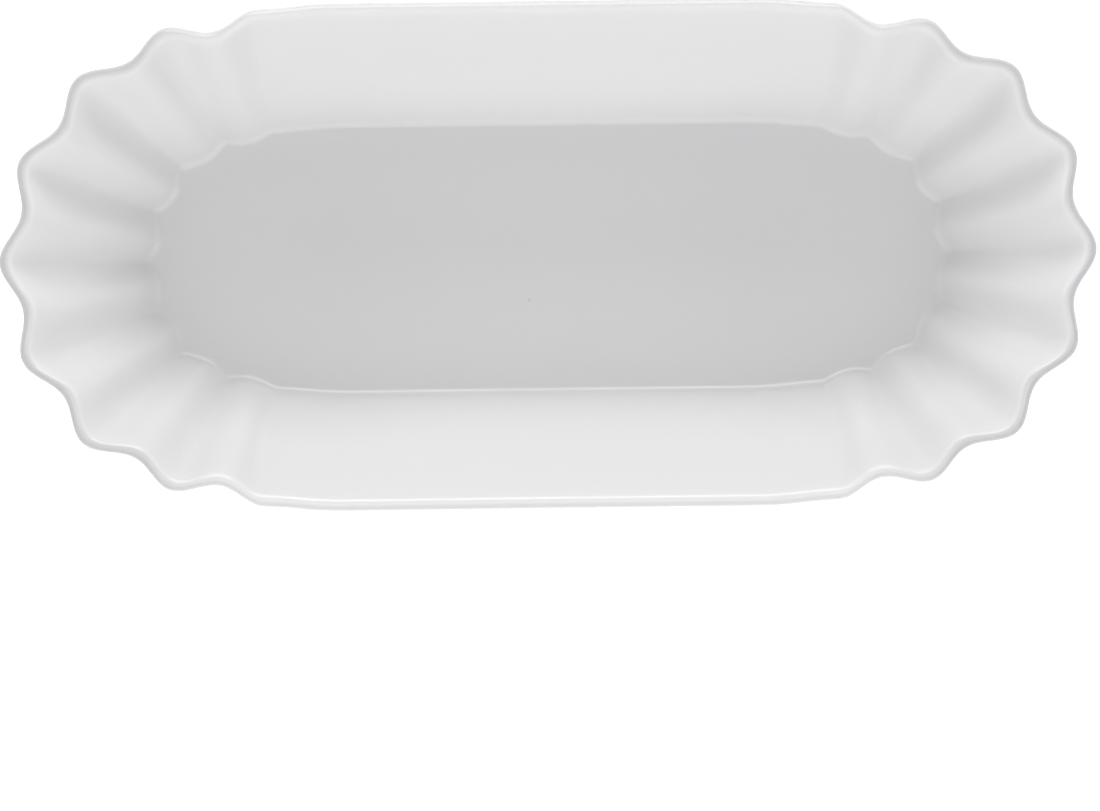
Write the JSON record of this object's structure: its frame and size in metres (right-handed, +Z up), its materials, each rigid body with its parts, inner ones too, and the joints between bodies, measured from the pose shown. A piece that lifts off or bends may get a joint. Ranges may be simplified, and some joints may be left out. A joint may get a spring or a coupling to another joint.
{
  "type": "serving platter",
  "caption": "Deep oblong white porcelain serving platter with straight sloping long walls, fluted half-round ends, a rolled lip and a low bare foot.",
  "frame": {"origin": "middle of the footprint, on the surface the platter stands on", "axes": "+X along the length towards one fluted end, +Y across the width towards the back wall, +Z up out of the open top"},
  "size_m": [0.24, 0.1108, 0.045],
  "materials": {
    "glazed_porcelain": "clear gloss glaze over white porcelain",
    "bare_foot": "unglazed, wiped and polished biscuit"
  },
  "bodies": {
    "root": {"foot_rim": "bare_foot", "floor_plate": "glazed_porcelain", "back_wall": "glazed_porcelain", "front_wall": "glazed_porcelain", "right_fluted_end": "glazed_porcelain", "left_fluted_end": "glazed_porcelain", "rolled_lip": "glazed_porcelain"}
  },
  "joints": []
}
